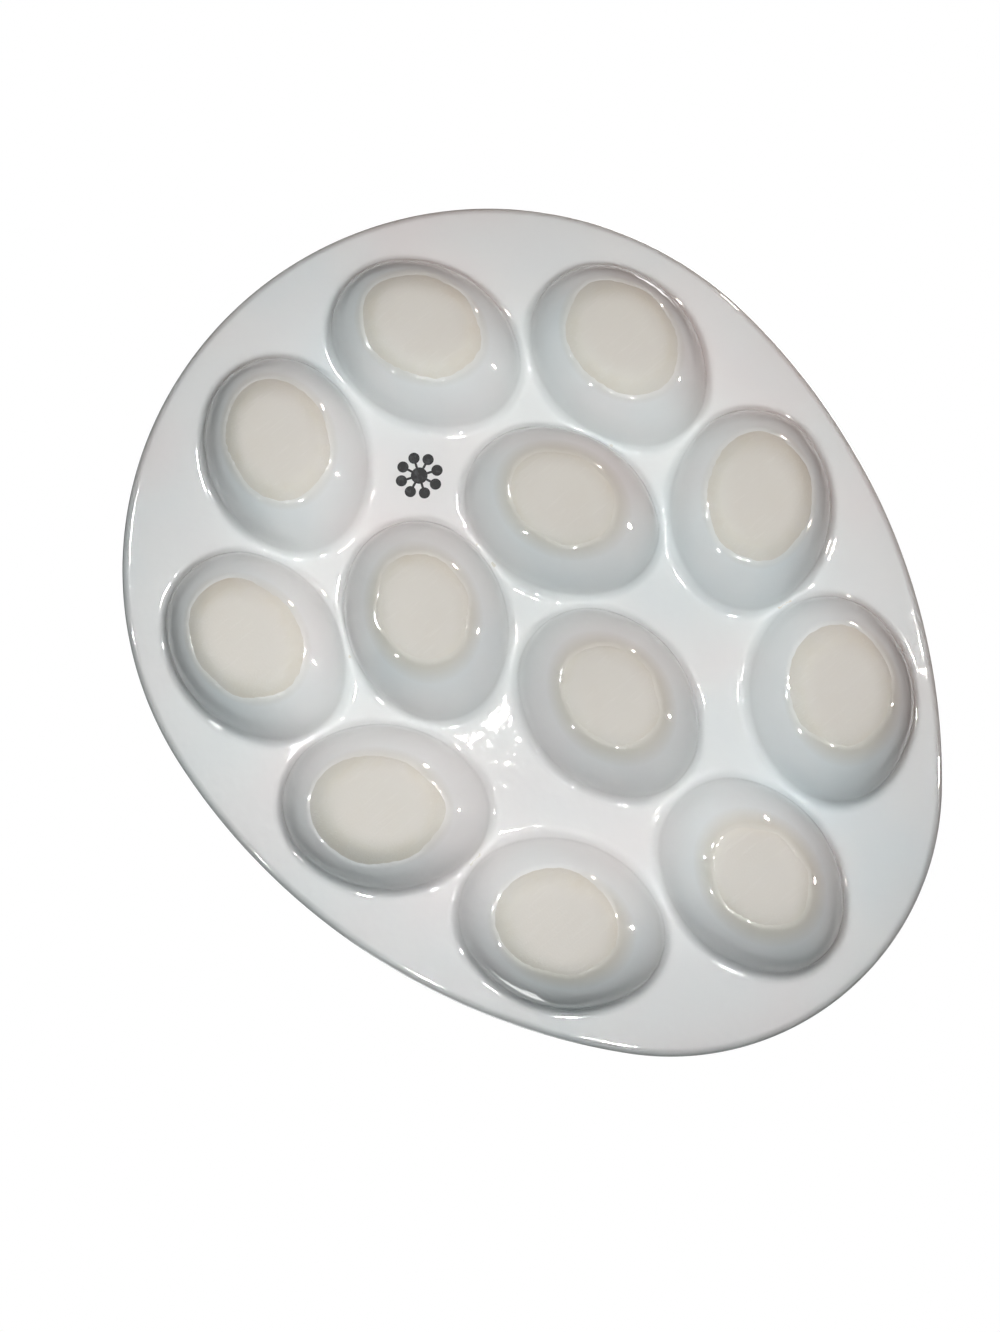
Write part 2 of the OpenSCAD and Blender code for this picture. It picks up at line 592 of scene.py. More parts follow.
    def build(self) -> tuple[np.ndarray, np.ndarray]:
        """Makes the net.

        A ring point is kept where its own well is the nearest and it lies inside the rim, and a
        field point where every well's fillet is behind it. The Delaunay net of all of them fills
        the rim's loop, and the triangles inside a wiped edge are left out.

        Returns:
            The net's points on the plan in mm, and its triangles, anticlockwise from above.
        """
        wells = self.shape.wells()
        loop, loop_out = self.shape.plan.outline(self.rim_count)
        rim = loop - loop_out * self.rim_inset
        sets, edge_loops, offset = [rim], [], len(rim)
        for index, well in enumerate(wells):
            points, first = self.well_rings(index, well)
            others = np.min([self.wall_distance(other, points)
                             for other in wells if other is not well], axis=0)
            outside = self.shape.plan.distance(points[:, 0], points[:, 1])
            keep = self.wall_distance(well, points) < others - self.seam_gap
            keep &= outside < -self.rim_inset - self.rim_gap
            if first:
                edge_loops.append(offset + np.arange(first))
            sets.append(points[keep])
            offset += int(keep.sum())
        points = np.concatenate([*sets, self.hex_field(wells)])
        loop_edges = [(int(a), int(b))
                      for line in edge_loops for a, b in zip(line, np.roll(line, -1))]
        inside_only, merged_under = 1, 1e-6
        result = delaunay_2d_cdt(points.tolist(), loop_edges, [list(range(len(rim)))],
                                 inside_only, merged_under)
        out = np.array([tuple(v) for v in result[0]])
        triangles = np.array(result[2])
        owner = np.full(len(points), -1)
        for k, line in enumerate(edge_loops):
            owner[line] = k
        owner = np.array([owner[source[0]] if source else -1 for source in result[3]])
        one, two, three = owner[triangles].T
        triangles = triangles[(one < 0) | (one != two) | (two != three)]
        a, b, c = (out[triangles[:, k]] for k in range(3))
        ab, ac = b - a, c - a
        turned = ab[:, 0] * ac[:, 1] - ab[:, 1] * ac[:, 0] < 0
        triangles[turned] = triangles[turned][:, ::-1]
        return out, triangles


def make_mesh(name: str, points: np.ndarray, faces: np.ndarray) -> bpy.types.Object:
    """Makes an object of a mesh in the scene, smooth all over.

    Args:
        name: Name of the object and its mesh.
        points: Its vertices in mm.
        faces: Corner numbers of each face.

    Returns:
        The new object, at the origin.
    """
    mesh = bpy.data.meshes.new(name)
    mesh.from_pydata((points * MM).tolist(), [], faces.tolist())
    mesh.polygons.foreach_set("use_smooth", np.ones(len(mesh.polygons), dtype=bool))
    mesh.validate()
    obj = bpy.data.objects.new(name, mesh)
    bpy.context.scene.collection.objects.link(obj)
    return obj


def weld(points: np.ndarray, faces: np.ndarray) -> tuple[np.ndarray, np.ndarray]:
    """Makes points at the same place one, and drops the faces that this closes.

    Args:
        points: Points in mm.
        faces: Corner numbers of each triangle.

    Returns:
        The points that are left, and the triangles between them.
    """
    key = np.round(points / WELD_STEP).astype(np.int64)
    _, first, back = np.unique(key, axis=0, return_index=True, return_inverse=True)
    faces = back.reshape(-1)[faces]
    one, two, three = faces.T
    return points[first], faces[(one != two) & (two != three) & (three != one)]


def grid_faces(rows: int, columns: int) -> np.ndarray:
    """Joins rows of points that each close into a loop.

    Args:
        rows: Number of rows.
        columns: Number of points in each.

    Returns:
        The corner numbers of the triangles between the rows.
    """
    row, column = np.meshgrid(np.arange(rows - 1), np.arange(columns), indexing="ij")
    after = (column + 1) % columns
    a, b = row * columns + column, row * columns + after
    c, d = (row + 1) * columns + after, (row + 1) * columns + column
    return np.concatenate([np.stack([a, b, c], axis=-1).reshape(-1, 3),
                           np.stack([a, c, d], axis=-1).reshape(-1, 3)])


@dataclass(frozen=True)
class Rim:
    """The rounded edge of the deck: a profile carried along the platter's outline.

    Args:
        shape: The platter's sizes.
        coat: How far the edge is moved outwards, in mm.
        count: Number of points round the outline, the same as in the nets that meet it.
        steps: Number of steps in each rounding.
    """

    shape: PlatterShape
    coat: float
    count: int = 480
    steps: int = 8

    def build(self) -> tuple[np.ndarray, np.ndarray]:
        """Carries the profile along the outline.

        The profile is two quarter circles of the coated radii: r sin, r cos round their centres.

        Returns:
            The rim's points in mm, from the underside's edge to the top's, and its triangles.
        """
        s = self.shape
        turn = np.linspace(0, math.pi / 2, self.steps + 1)
        under, top = s.rim_under_r + self.coat, s.rim_top_r + self.coat
        out = np.concatenate([under * np.sin(turn) - s.rim_under_r,
                              top * np.cos(turn) - s.rim_top_r])
        z = np.concatenate([s.deck_rise + s.rim_under_r - under * np.cos(turn),
                            s.top_z - s.rim_top_r + top * np.sin(turn)])
        loop, outward = s.plan.outline(self.count)
        plan = loop + outward * out[:, None, None]
        height = np.broadcast_to(z[:, None, None], (len(z), self.count, 1))
        return (np.concatenate([plan, height], axis=2).reshape(-1, 3),
                grid_faces(len(z), self.count))


# Finishes

def linear(colour: str) -> tuple[float, float, float, float]:
    """Returns a six-digit sRGB hex colour as a linear one with full alpha."""
    parts = [int(colour.lstrip("#")[k:k + 2], 16) / 255 for k in (0, 2, 4)]
    return (*(p / 12.92 if p <= 0.04045 else ((p + 0.055) / 1.055) ** 2.4 for p in parts), 1.0)


def scale(length: float) -> float:
    """Returns a pattern's scale over metres, from the length of its features in mm."""
    return 1 / (length * MM)


def add(tree: bpy.types.NodeTree, kind: str, settings: dict | None = None,
        links: dict | None = None) -> bpy.types.Node:
    """Adds a node with its settings and incoming links.

    Args:
        tree: Node tree that the node goes into.
        kind: Name of the node's type.
        settings: Values by name: a colour ramp's places and hex colours under "stops", an input's
            value where the node has that input, otherwise a property's.
        links: Output sockets by the name or number of the input that each feeds.

    Returns:
        The new node.
    """
    node = tree.nodes.new(kind)
    for name, value in (settings or {}).items():
        if name == "stops":
            elements = node.color_ramp.elements
            while len(elements) < len(value):
                elements.new(0.5)
            for element, (place, colour) in zip(elements, value):
                element.position, element.color = place, linear(colour)
        elif isinstance(name, int) or name in node.inputs.keys():
            node.inputs[name].default_value = value
        else:
            setattr(node, name, value)
    for name, socket in (links or {}).items():
        tree.links.new(socket, node.inputs[name])
    return node


def start_material(name: str) -> tuple[bpy.types.Material, bpy.types.NodeTree, bpy.types.Node,
                                       bpy.types.NodeSocket]:
    """Starts a material.

    Args:
        name: Its name.

    Returns:
        The material, its node tree, its shader, and its object coordinates in metres.
    """
    material = bpy.data.materials.new(name)
    material.use_nodes = True
    tree = material.node_tree
    place = add(tree, "ShaderNodeTexCoord").outputs["Object"]
    return material, tree, tree.nodes["Principled BSDF"], place


@dataclass(frozen=True)
class PorcelainGlaze:
    """Clear glossy glaze over white porcelain: a mirror-like skin over a white body.

    The glaze lies in a slow ripple a few centimetres long, which bends its mirror images, with
    shorter waves that break a highlight up, a faint orange peel and a few pinholes. Its white
    shifts a little between warm and cool, as the thickness of the glaze does. Round each foot it
    runs out so thin that the cream of the bare clay shows through.

    Args:
        thin_z: Heights between which the cream comes in, in mm.
        thin_share: How much of the cream shows at the lower one.
        tint_mm: Length of the shift between warm and cool, in mm.
        relief: Ripple, waves and orange peel: length in mm, detail, and height in mm.
        pinhole_mm: Distance between pinholes, in mm.
        pinhole_r: A pinhole's radius, as a share of that distance.
        pinhole_h: A pinhole's depth in mm, and how strongly it shows.
    """

    name: str = "clear_glaze_on_white_porcelain"
    white: str = "#DEE0DF"
    warm: str = "#E0DDDC"
    cool: str = "#D8DEDF"
    thin: str = "#CBC7BC"
    thin_z: tuple[float, float] = (4.6, 1.4)
    thin_share: float = 0.85
    tint_mm: float = 55.0
    roughness: float = 0.05
    ior: float = 1.52
    relief: tuple[tuple[float, float, float], ...] = (
        (38.0, 1.0, 0.35), (5.0, 1.5, 0.13), (3.2, 2.0, 0.006))
    pinhole_mm: float = 24.0
    pinhole_r: float = 0.018
    pinhole_h: tuple[float, float] = (0.03, 0.6)

    def build(self) -> bpy.types.Material:
        """Makes the material.

        Returns:
            The new material.
        """
        material, tree, shader, place = start_material(self.name)
        tint = add(tree, "ShaderNodeTexNoise", {"Scale": scale(self.tint_mm), "Detail": 2.0},
                   {"Vector": place})
        colour = add(tree, "ShaderNodeValToRGB",
                     {"stops": ((0.3, self.cool), (0.5, self.white), (0.72, self.warm))},
                     {"Fac": tint.outputs["Fac"]}).outputs["Color"]
        height = add(tree, "ShaderNodeSeparateXYZ", links={"Vector": place}).outputs["Z"]
        thick, thin = self.thin_z
        share = add(tree, "ShaderNodeMapRange",
                    {"From Min": thick * MM, "From Max": thin * MM, "To Max": self.thin_share},
                    {"Value": height})
        colour = add(tree, "ShaderNodeMixRGB", {"Color2": linear(self.thin)},
                     {"Fac": share.outputs["Result"], "Color1": colour}).outputs["Color"]
        under: dict[str, bpy.types.NodeSocket] = {}
        for length, detail, rise in self.relief:
            noise = add(tree, "ShaderNodeTexNoise", {"Scale": scale(length), "Detail": detail},
                        {"Vector": place})
            bump = add(tree, "ShaderNodeBump", {"Strength": 1.0, "Distance": rise * MM},
                       {"Height": noise.outputs["Fac"], **under})
            under = {"Normal": bump.outputs["Normal"]}
        spots = add(tree, "ShaderNodeTexVoronoi", {"Scale": scale(self.pinhole_mm)},
                    {"Vector": place})
        hole = add(tree, "ShaderNodeMapRange", {"From Max": self.pinhole_r},
                   {"Value": spots.outputs["Distance"]})
        depth, strength = self.pinhole_h
        bump = add(tree, "ShaderNodeBump", {"Strength": strength, "Distance": depth * MM},
                   {"Height": hole.outputs["Result"], **under})
        tree.links.new(colour, shader.inputs["Base Color"])
        tree.links.new(bump.outputs["Normal"], shader.inputs["Normal"])
        shader.inputs["Roughness"].default_value = self.roughness
        shader.inputs["IOR"].default_value = self.ior
        return material


@dataclass(frozen=True)
class BareFoot:
    """Fired porcelain without glaze, sponged and then scuffed by tables: matt, cream, stained.

    The flat that touches the table is worn greyer than the band round it, which broad stains
    yellow a little. Long fine scratches run in two directions. The grain and the scratches are
    coarser than the real ones, so that they show.

    Args:
        flat_z: Heights between which the worn flat comes in, in mm.
        flat_share: How much of the worn colour shows at the lower one.
        stain_mm: Length of the stains, in mm.
        grain_mm: Size of the clay's grain, in mm.
        grain_h: Height of the grain, in mm.
        scratch_mm: Width of the scratches, in mm.
        scratch_h: Height of the scratches' edges, in mm.
        scratch_lies: Turn in radians of each set of scratches, and its width as a share of its
            length.
        scratch_cut: Noise values between which a scratch comes in.
        scuff_share: How much of the scuffs' colour a scratch shows.
    """

    name: str = "bare_fired_porcelain"
    worn: str = "#C5C1B9"
    pale: str = "#CBC8C0"
    cream: str = "#CAC6BB"
    stain: str = "#C7C0B2"
    scuff: str = "#D2CFC8"
    roughness: float = 0.62
    flat_z: tuple[float, float] = (0.9, 0.1)
    flat_share: float = 0.75
    stain_mm: float = 14.0
    grain_mm: float = 0.7
    grain_h: float = 0.03
    scratch_mm: float = 1.1
    scratch_h: float = 0.02
    scratch_lies: tuple[tuple[float, float], ...] = ((0.6, 0.07), (-1.05, 0.1))
    scratch_cut: tuple[float, float] = (0.6, 0.72)
    scuff_share: float = 0.2

    def build(self) -> bpy.types.Material:
        """Makes the material.

        Returns:
            The new material.
        """
        material, tree, shader, place = start_material(self.name)
        stains = add(tree, "ShaderNodeTexNoise",
                     {"Scale": scale(self.stain_mm), "Detail": 4.0, "Roughness": 0.6},
                     {"Vector": place})
        colour = add(tree, "ShaderNodeValToRGB",
                     {"stops": ((0.3, self.pale), (0.52, self.cream), (0.78, self.stain))},
                     {"Fac": stains.outputs["Fac"]}).outputs["Color"]
        height = add(tree, "ShaderNodeSeparateXYZ", links={"Vector": place}).outputs["Z"]
        edge, foot = self.flat_z
        flat = add(tree, "ShaderNodeMapRange",
                   {"From Min": edge * MM, "From Max": foot * MM, "To Max": self.flat_share},
                   {"Value": height})
        colour = add(tree, "ShaderNodeMixRGB", {"Color2": linear(self.worn)},
                     {"Fac": flat.outputs["Result"], "Color1": colour}).outputs["Color"]
        scratches = []
        for turn, narrowed in self.scratch_lies:
            lie = add(tree, "ShaderNodeMapping",
                      {"Rotation": (0, 0, turn), "Scale": (narrowed, 1, 1)}, {"Vector": place})
            lines = add(tree, "ShaderNodeTexNoise",
                        {"Scale": scale(self.scratch_mm), "Detail": 2.0},
                        {"Vector": lie.outputs["Vector"]})
            low, high = self.scratch_cut
            scratches.append(add(tree, "ShaderNodeMapRange", {"From Min": low, "From Max": high},
                                 {"Value": lines.outputs["Fac"]}).outputs["Result"])
        both = add(tree, "ShaderNodeMath", {"operation": "MAXIMUM"},
                   dict(enumerate(scratches))).outputs["Value"]
        amount = add(tree, "ShaderNodeMapRange", {"To Max": self.scuff_share}, {"Value": both})
        light = add(tree, "ShaderNodeMixRGB", {"Color2": linear(self.scuff)},
                    {"Fac": amount.outputs["Result"], "Color1": colour})
        grain = add(tree, "ShaderNodeTexNoise", {"Scale": scale(self.grain_mm), "Detail": 3.0},
                    {"Vector": place})
        under: dict[str, bpy.types.NodeSocket] = {}
        for source, rise in ((grain.outputs["Fac"], self.grain_h), (both, self.scratch_h)):
            bump = add(tree, "ShaderNodeBump", {"Strength": 1.0, "Distance": rise * MM},
                       {"Height": source, **under})
            under = {"Normal": bump.outputs["Normal"]}
        tree.links.new(light.outputs["Color"], shader.inputs["Base Color"])
        tree.links.new(bump.outputs["Normal"], shader.inputs["Normal"])
        shader.inputs["Roughness"].default_value = self.roughness
        return material


@dataclass(frozen=True)
class FiredPrint:
    """Dark grey print fired onto the glaze: a thin, even layer with a soft sheen, a little worn.

    Args:
        wear_mm: Size of the worn specks, in mm.
        specular: Strength of the sheen, as the shader's level.
    """

    name: str = "fired_dark_print"
    ink: str = "#1B1C1E"
    worn: str = "#3A3C3F"
    wear_mm: float = 1.6
    roughness: float = 0.32
    specular: float = 0.25

    def build(self) -> bpy.types.Material:
        """Makes the material.

        Returns:
            The new material.
        """
        material, tree, shader, place = start_material(self.name)
        wear = add(tree, "ShaderNodeTexNoise", {"Scale": scale(self.wear_mm), "Detail": 3.0},
                   {"Vector": place})
        colour = add(tree, "ShaderNodeValToRGB",
                     {"stops": ((0.5, self.ink), (0.75, self.worn))},
                     {"Fac": wear.outputs["Fac"]}).outputs["Color"]
        tree.links.new(colour, shader.inputs["Base Color"])
        shader.inputs["Roughness"].default_value = self.roughness
        shader.inputs["Specular IOR Level"].default_value = self.specular
        return material


# Pieces

@dataclass
class PorcelainBody:
    """The fired body: the whole platter under its glaze, which shows at the twelve feet.

    Args:
        shape: The platter's sizes.
        finish: The body's finish.
        ring_step: Distance along the wells' walls between rings, in mm.
        field_step: Distance between the deck's points, in mm.
        rim_count: Number of points round the rim.
    """

    shape: PlatterShape
    finish: BareFoot = field(default_factory=BareFoot)
    ring_step: float = 1.7
    field_step: float = 4.0
    rim_count: int = 240

    def face(self, side: Side) -> tuple[np.ndarray, np.ndarray]:
        """Makes one broad face.

        Args:
            side: Which face.

        Returns:
            Its points in mm and its triangles, which face outwards.
        """
        net = FaceNet(self.shape, side, ring_step=self.ring_step, field_step=self.field_step,
                      rim_count=self.rim_count)
        plan, triangles = net.build()
        if side is Side.UNDER:
            height, triangles = self.shape.under_height(plan, 0.0), triangles[:, ::-1]
        else:
            height = self.shape.top_height(plan, 0.0)
        return np.column_stack([plan, height]), triangles

    def build(self) -> bpy.types.Object:
        """Welds the underside, top and rim into one closed mesh.

        Returns:
            The body's object.
        """
        parts = [*(self.face(side) for side in Side), Rim(self.shape, 0.0, self.rim_count).build()]
        offsets = np.cumsum([0] + [len(points) for points, _ in parts[:-1]])
        points = np.concatenate([points for points, _ in parts])
        faces = np.concatenate([faces + offset for (_, faces), offset in zip(parts, offsets)])
        obj = make_mesh("porcelain_body", *weld(points, faces))
        obj.data.materials.append(self.finish.build())
        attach(obj, "root")
        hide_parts("fired_body")
        return obj


@dataclass
class GlazeCoat:
    """The glaze: one skin under the platter and round its rim, and one on top.

    Args:
        shape: The platter's sizes.
        finish: The glaze's finish.
        edge_t: Width over which the glaze thins to nothing at a wiped edge, in mm.
        sunk: How far its very edge is sunk into the body, in mm.
        first_seed: Start of the random numbers for the first foot's edge.
    """

    shape: PlatterShape
    finish: PorcelainGlaze = field(default_factory=PorcelainGlaze)
    edge_t: float = 1.1
    sunk: float = 0.02
    first_seed: int = 40

    def under(self, material: bpy.types.Material) -> bpy.types.Object:
        """Makes the skin under the platter and round its rim, with a hole at each foot.

        Args:
            material: The glaze.

        Returns:
            The skin's object.
        """
        edges = tuple(WipedEdge(well, self.shape, self.first_seed + k)
                      for k, well in enumerate(self.shape.wells()))
        plan, triangles = FaceNet(self.shape, Side.UNDER, edges).build()
        beyond = np.min([np.abs(edge.beyond(plan)) for edge in edges], axis=0)
        at_edge = beyond < WELD_STEP
        coat = self.shape.glaze_t * ease(beyond / self.edge_t) - self.sunk * at_edge
        height = self.shape.under_height(plan, coat)
        rim_points, rim_faces = Rim(self.shape, self.shape.glaze_t).build()
        points = np.concatenate([np.column_stack([plan, height]), rim_points])
        faces = np.concatenate([triangles[:, ::-1], rim_faces + len(plan)])
        return self.dress(make_mesh("glaze_under_and_rim", *weld(points, faces)), material)

    def top(self, material: bpy.types.Material) -> bpy.types.Object:
        """Makes the skin on the deck's top and in the hollows.

        Args:
            material: The glaze.

        Returns:
            The skin's object.
        """
        plan, triangles = FaceNet(self.shape, Side.TOP).build()
        points = np.column_stack([plan, self.shape.top_height(plan, self.shape.glaze_t)])
        return self.dress(make_mesh("glaze_top_and_hollows", points, triangles), material)

    def dress(self, obj: bpy.types.Object, material: bpy.types.Material) -> bpy.types.Object:
        """Gives a skin its finish and its place in the frame.

        Args:
            obj: The skin.
            material: The glaze.

        Returns:
            The same object.
        """
        obj.data.materials.append(material)
        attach(obj, "root")
        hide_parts("glaze_coat")
        return obj

    def build(self) -> list[bpy.types.Object]:
        """Returns the two skins."""
        material = self.finish.build()
        return [self.under(material), self.top(material)]


@dataclass
class Rosette:
    """The small print under the deck, whose solid is shown as it is.

    Args:
        finish: The print's finish.
    """

    finish: FiredPrint = field(default_factory=FiredPrint)

    def build(self) -> bpy.types.Object:
        """Dresses the print's solid.

        Returns:
            The print's object.
        """
        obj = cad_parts["printed_rosette"]
        obj.data.materials.clear()
        obj.data.materials.append(self.finish.build())
        return obj


# Studio

def standing(axes: Sequence[np.ndarray], place: Sequence[float]) -> Matrix:
    """Places an object.

    Args:
        axes: Directions of its own x, y and z.
        place: Where it is, in metres.

    Returns:
        Its matrix: the axes and the place as columns.
    """
    whole = np.eye(4)
    whole[:3, :3], whole[:3, 3] = np.column_stack(axes), place
    return Matrix(whole.tolist())


class LampRole(Enum):
    """What of a lamp's light counts: all, only what matt surfaces take, or its mirror image."""

    FULL = "full"
    FILL = "fill"
    SPARKLE = "sparkle"


@dataclass(frozen=True)
class Softbox:
    """A rectangular lamp.

    Args:
        name: Name of the lamp.
        place: Its centre, in metres.
        size: Its width and height, in metres.
        power: Its power, in watts.
        colour: Its colour, in hex.
        role: What of its light counts.
        target: The point that it faces, in metres.
        nearly_along: How nearly its line of light may run along y before x sets its upright.
    """

    name: str
    place: Point
    size: tuple[float, float]
    power: float
    colour: str = "#FFFFFF"
    role: LampRole = LampRole.FULL
    target: Point = (0.0, 0.0, 0.012)
    nearly_along: float = 0.95

    def build(self) -> bpy.types.Object:
        """Makes the lamp, with its -z axis along the line to its target.

        Returns:
            The lamp's object.
        """
        data = bpy.data.lights.new(self.name, "AREA")
        data.shape, data.size, data.size_y = "RECTANGLE", *self.size
        data.energy, data.color = self.power, linear(self.colour)[:3]
        lamp = bpy.data.objects.new(self.name, data)
        bpy.context.scene.collection.objects.link(lamp)
        lamp.visible_camera = False
        lamp.visible_glossy = self.role is not LampRole.FILL
        lamp.visible_diffuse = self.role is not LampRole.SPARKLE
        back = np.subtract(self.place, self.target)
        back = back / np.linalg.norm(back)
        level = (0.0, 1.0, 0.0) if abs(back[1]) < self.nearly_along else (1.0, 0.0, 0.0)
        side = np.cross(level, back)
        side = side / np.linalg.norm(side)
        lamp.matrix_world = standing((side, np.cross(back, side), back), self.place)
        return lamp


@dataclass(frozen=True)
class PhotoCamera:
    """The camera of the photograph, under the platter, because there the platter lies on its face.

    It was fitted to the outline and the feet as a turn and a place in a plan seen from below. The
    plan's x runs against the part's x, and its height runs down from the deck's underside.

    Args:
        focal_px: Focal length in the picture's pixels.
        picture_px: Width of the picture in pixels.
        tilt: Turn about the picture's own right and down axes, in radians.
        spin: Turn of the plan about the line of sight, in radians.
        place_mm: Place over the plan: right, towards the broad end, and down from the deck.
        sensor_mm: Width of the camera's sensor.
        clip: Nearest and farthest distance that it sees, in metres.
    """

    focal_px: float = 1300.0
    picture_px: float = 1000.0
    tilt: tuple[float, float] = (-0.104102, 0.0061791)
    spin: float = 0.6861721
    place_mm: Point = (-45.8246, -36.3413, 426.3089)
    sensor_mm: float = 36.0
    clip: tuple[float, float] = (0.01, 20.0)

    @staticmethod
    def turned(axis: Point) -> np.ndarray:
        """Makes a turn about an axis.

        It is one + sine * cross + (1 - cosine) * cross * cross, where cross is the matrix of the
        axis's cross product.

        Args:
            axis: The axis, whose length is the turn in radians.

        Returns:
            The turn's matrix.
        """
        angle = math.sqrt(sum(a * a for a in axis))
        x, y, z = (a / angle for a in axis)
        cross = np.array([[0, -z, y], [z, 0, -x], [-y, x, 0]])
        return np.eye(3) + math.sin(angle) * cross + (1 - math.cos(angle)) * cross @ cross

    def axes(self) -> np.ndarray:
        """Works out which way the camera looks.

        Returns:
            The picture's right, its down and the line of sight, as rows.
        """
        flip, spin = np.diag([1.0, -1.0, -1.0]), self.turned((0.0, 0.0, self.spin))
        view = self.turned((*self.tilt, 0.0)) @ flip @ spin
        return view @ np.diag([-1.0, 1.0, -1.0])

    def build(self, shape: PlatterShape) -> bpy.types.Object:
        """Makes the camera, and makes it the scene's own.

        Args:
            shape: The platter's sizes.

        Returns:
            The camera's object.
        """
        right, down, ahead = self.axes()
        x, y, z = self.place_mm
        data = bpy.data.cameras.new("photo_camera")
        data.sensor_fit, data.sensor_width = "HORIZONTAL", self.sensor_mm
        data.lens = self.sensor_mm * self.focal_px / self.picture_px
        data.clip_start, data.clip_end = self.clip
        camera = bpy.data.objects.new("photo_camera", data)
        bpy.context.scene.collection.objects.link(camera)
        place = np.array((-x, y, shape.deck_rise - z)) * MM
        camera.matrix_world = standing((right, -down, -ahead), place)
        bpy.context.scene.camera = camera
        return camera


@dataclass(frozen=True)
class NearLamp:
    """A small lamp under the platter's middle: a panel that faces it, and a ring that faces out.

    The ring's panels face well away from straight up, so that the light falls on the deck evenly
    although it comes from near the middle, and each well is lit from its inner side. Those that
    face the strong side are stronger: power * (1 + lean * max(0, cosine) ** 2).

    Args:
        strong_side: Direction in which the ring is strongest.
        z: Height of all panels, in metres.
        powers: Power of the panel that faces up and of one in the ring, in watts.
        sizes: Width of the panel that faces up and of one in the ring, in metres.
        ring_r: Radius of the ring, in metres.
        ring_count: Number of panels in the ring.
        tilt: Turn of the ring's panels away from straight up, in degrees.
        lean: How much stronger the panels of the strong side are, as a share.
        colour: Colour of all panels.
    """

    strong_side: np.ndarray
    z: float = -0.24
    powers: tuple[float, float] = (0.41, 0.235)
    sizes: tuple[float, float] = (0.12, 0.06)
    ring_r: float = 0.03
    ring_count: int = 6
    tilt: float = 80.0
    lean: float = 0.5
    colour: str = "#FAFDFF"

    def panels(self) -> list[Softbox]:
        """Lists the panels, which light matt surfaces and have no mirror image.

        Returns:
            The panel that faces up, and then the ring.
        """
        (up_power, out_power), (up_size, out_size) = self.powers, self.sizes
        strong = math.atan2(self.strong_side[1], self.strong_side[0])
        tilt = math.radians(self.tilt)
        panels = [Softbox("near_panel_up", (0.0, 0.0, self.z), (up_size, up_size), up_power,
                          self.colour, LampRole.FILL)]
        for k in range(self.ring_count):
            turn = 2 * math.pi * (k + 0.5) / self.ring_count
            x, y = self.ring_r * math.cos(turn), self.ring_r * math.sin(turn)
            aim = (x + math.cos(turn) * math.sin(tilt), y + math.sin(turn) * math.sin(tilt),
                   self.z + math.cos(tilt))
            power = out_power * (1 + self.lean * max(0.0, math.cos(turn - strong)) ** 2)
            panels.append(Softbox(f"near_panel_side_{k}", (x, y, self.z), (out_size, out_size),
                                  power, self.colour, LampRole.FILL, aim))
        return panels


@dataclass(frozen=True)
class Floor:
    """A wide matt pale floor at the feet, with a faint fibre and a glow that keeps it even.

    It takes light and shadow and throws none back: only camera rays meet it, and its underside is
    clear, so that the photograph's view from below is open.

    Args:
        reach: How far it reaches from the platter, in mm.
        drop: How far it lies under the feet, in mm.
        fibre_mm: Size of the fibre, in mm.
    """

    name: str = "matt_pale_paper"
    colour: str = "#C6C6C5"
    fibre: str = "#C2C2C1"
    glow: str = "#8F8F8E"
    reach: float = 9000.0
    drop: float = 0.02
    fibre_mm: float = 1.5
    roughness: float = 0.9

    def build(self) -> bpy.types.Object:
        """Makes the floor.

        Returns:
            The floor's object.
        """
        corners = np.array([(-1, -1), (1, -1), (1, 1), (-1, 1)]) * self.reach
        obj = make_mesh("studio_floor", np.column_stack([corners, np.full(4, -self.drop)]),
                        np.array([(0, 1, 2, 3)]))
        material, tree, shader, place = start_material(self.name)
        fibre = add(tree, "ShaderNodeTexNoise", {"Scale": scale(self.fibre_mm), "Detail": 4.0},
                    {"Vector": place})
        colour = add(tree, "ShaderNodeValToRGB",
                     {"stops": ((0.3, self.fibre), (0.7, self.colour))},
                     {"Fac": fibre.outputs["Fac"]}).outputs["Color"]
        tree.links.new(colour, shader.inputs["Base Color"])
        shader.inputs["Roughness"].default_value = self.roughness
        shader.inputs["Emission Color"].default_value = linear(self.glow)
        shader.inputs["Emission Strength"].default_value = 1.0
        clear = add(tree, "ShaderNodeBsdfTransparent")
        back = add(tree, "ShaderNodeNewGeometry").outputs["Backfacing"]
        mix = add(tree, "ShaderNodeMixShader",
                  links={0: back, 1: shader.outputs["BSDF"], 2: clear.outputs["BSDF"]})
        tree.links.new(mix.outputs["Shader"], tree.nodes["Material Output"].inputs["Surface"])
        obj.data.materials.append(material)
        obj.visible_diffuse = obj.visible_glossy = False
        obj.visible_transmission = obj.visible_shadow = False
        return obj


